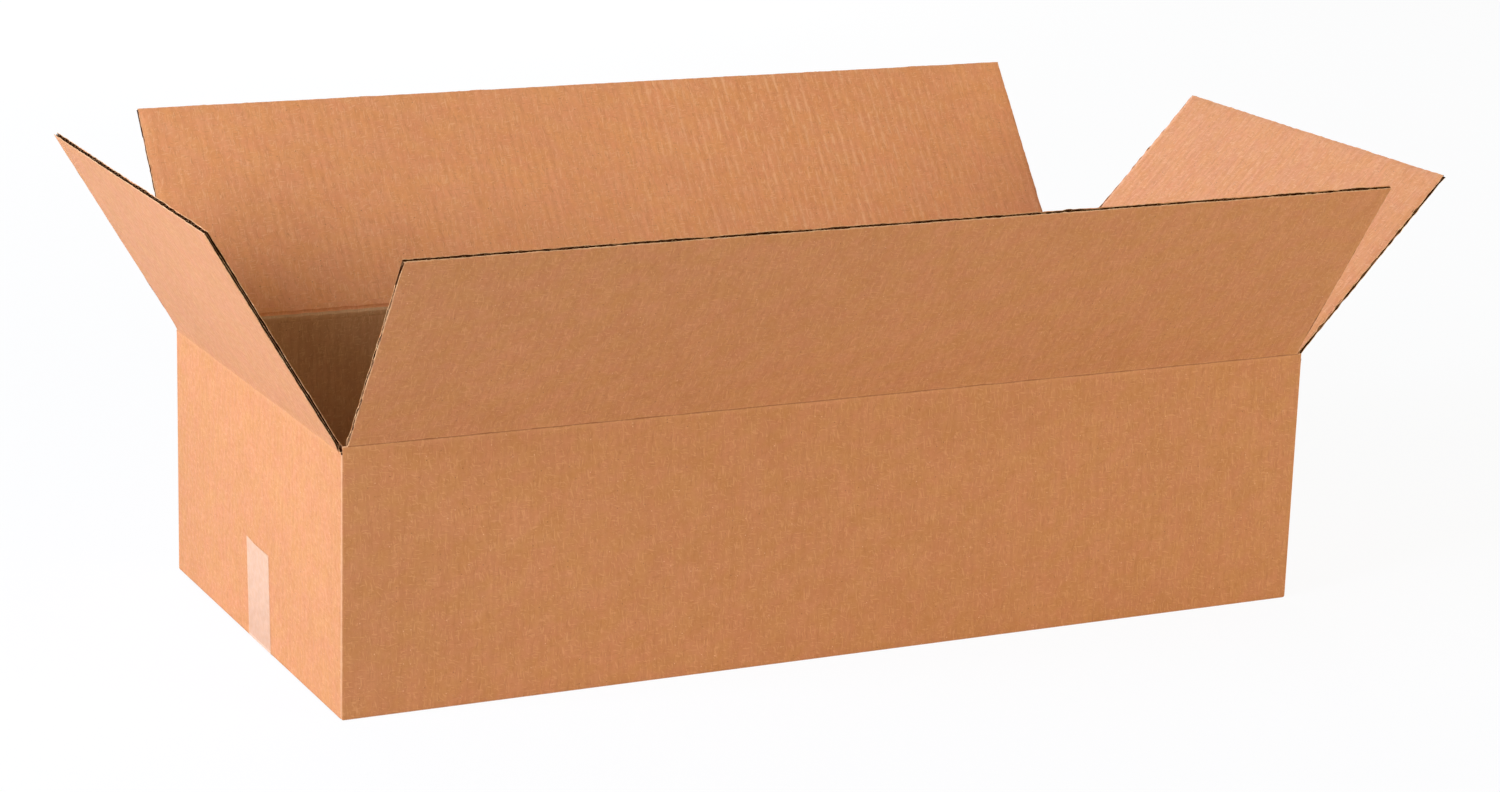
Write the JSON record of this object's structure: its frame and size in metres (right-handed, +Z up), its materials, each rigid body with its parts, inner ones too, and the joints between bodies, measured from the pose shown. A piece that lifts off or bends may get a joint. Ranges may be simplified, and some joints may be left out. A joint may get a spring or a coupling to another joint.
{
  "type": "open cardboard shipping carton",
  "caption": "Long shallow slotted shipping carton of corrugated board, bottom taped shut, four top flaps hinged at their creases and standing open.",
  "frame": {"origin": "middle of the bottom, on the surface that the carton stands on", "axes": "+X along the length to the right, +Y from the front to the back, +Z up"},
  "size_m": [0.9876, 0.5786, 0.3471],
  "materials": {
    "kraft_board": "uncoated brown kraft paper, matte, with fine fibre flecks",
    "packing_tape": "thin translucent packing film with a soft sheen"
  },
  "bodies": {
    "root": {"carton_body": "kraft_board", "bottom_tape": "packing_tape"},
    "front_flap": {"flap_front": "kraft_board"},
    "back_flap": {"flap_back": "kraft_board"},
    "left_flap": {"flap_left": "kraft_board"},
    "right_flap": {"flap_right": "kraft_board"}
  },
  "joints": [
    {"name": "front_crease", "type": "hinge", "parent": "root", "child": "front_flap", "pos_m": [0, -0.1818, 0.1944], "axis": [1, 0, 0], "range_deg": [-125, 140]},
    {"name": "back_crease", "type": "hinge", "parent": "root", "child": "back_flap", "pos_m": [0, 0.1818, 0.1944], "axis": [-1, 0, 0], "range_deg": [-128, 137]},
    {"name": "left_crease", "type": "hinge", "parent": "root", "child": "left_flap", "pos_m": [-0.385, 0, 0.1901], "axis": [0, -1, 0], "range_deg": [-121, 144]},
    {"name": "right_crease", "type": "hinge", "parent": "root", "child": "right_flap", "pos_m": [0.385, 0, 0.1901], "axis": [0, 1, 0], "range_deg": [-133.5, 131.5]}
  ]
}
